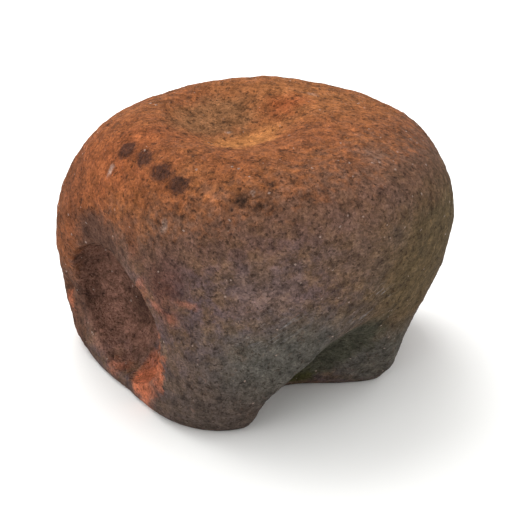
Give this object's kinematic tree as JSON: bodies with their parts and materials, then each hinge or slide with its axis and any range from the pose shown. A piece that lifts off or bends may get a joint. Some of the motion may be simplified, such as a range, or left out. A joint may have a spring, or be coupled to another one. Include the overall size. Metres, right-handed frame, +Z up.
{
  "type": "nutting stone",
  "caption": "Water-worn sandstone cobble with shallow pecked and ground hollows that each hold a nut while it is cracked.",
  "frame": {"origin": "under the middle of the stone, on the flat that it rests on", "axes": "+Z up, front towards -Y, the stone's length along X"},
  "size_m": [0.1272, 0.0998, 0.092],
  "materials": {
    "sandstone": "matte, water-worn, with dark brown and rust-orange iron stain"
  },
  "bodies": {
    "root": {"nutting_stone": "sandstone"}
  },
  "joints": []
}
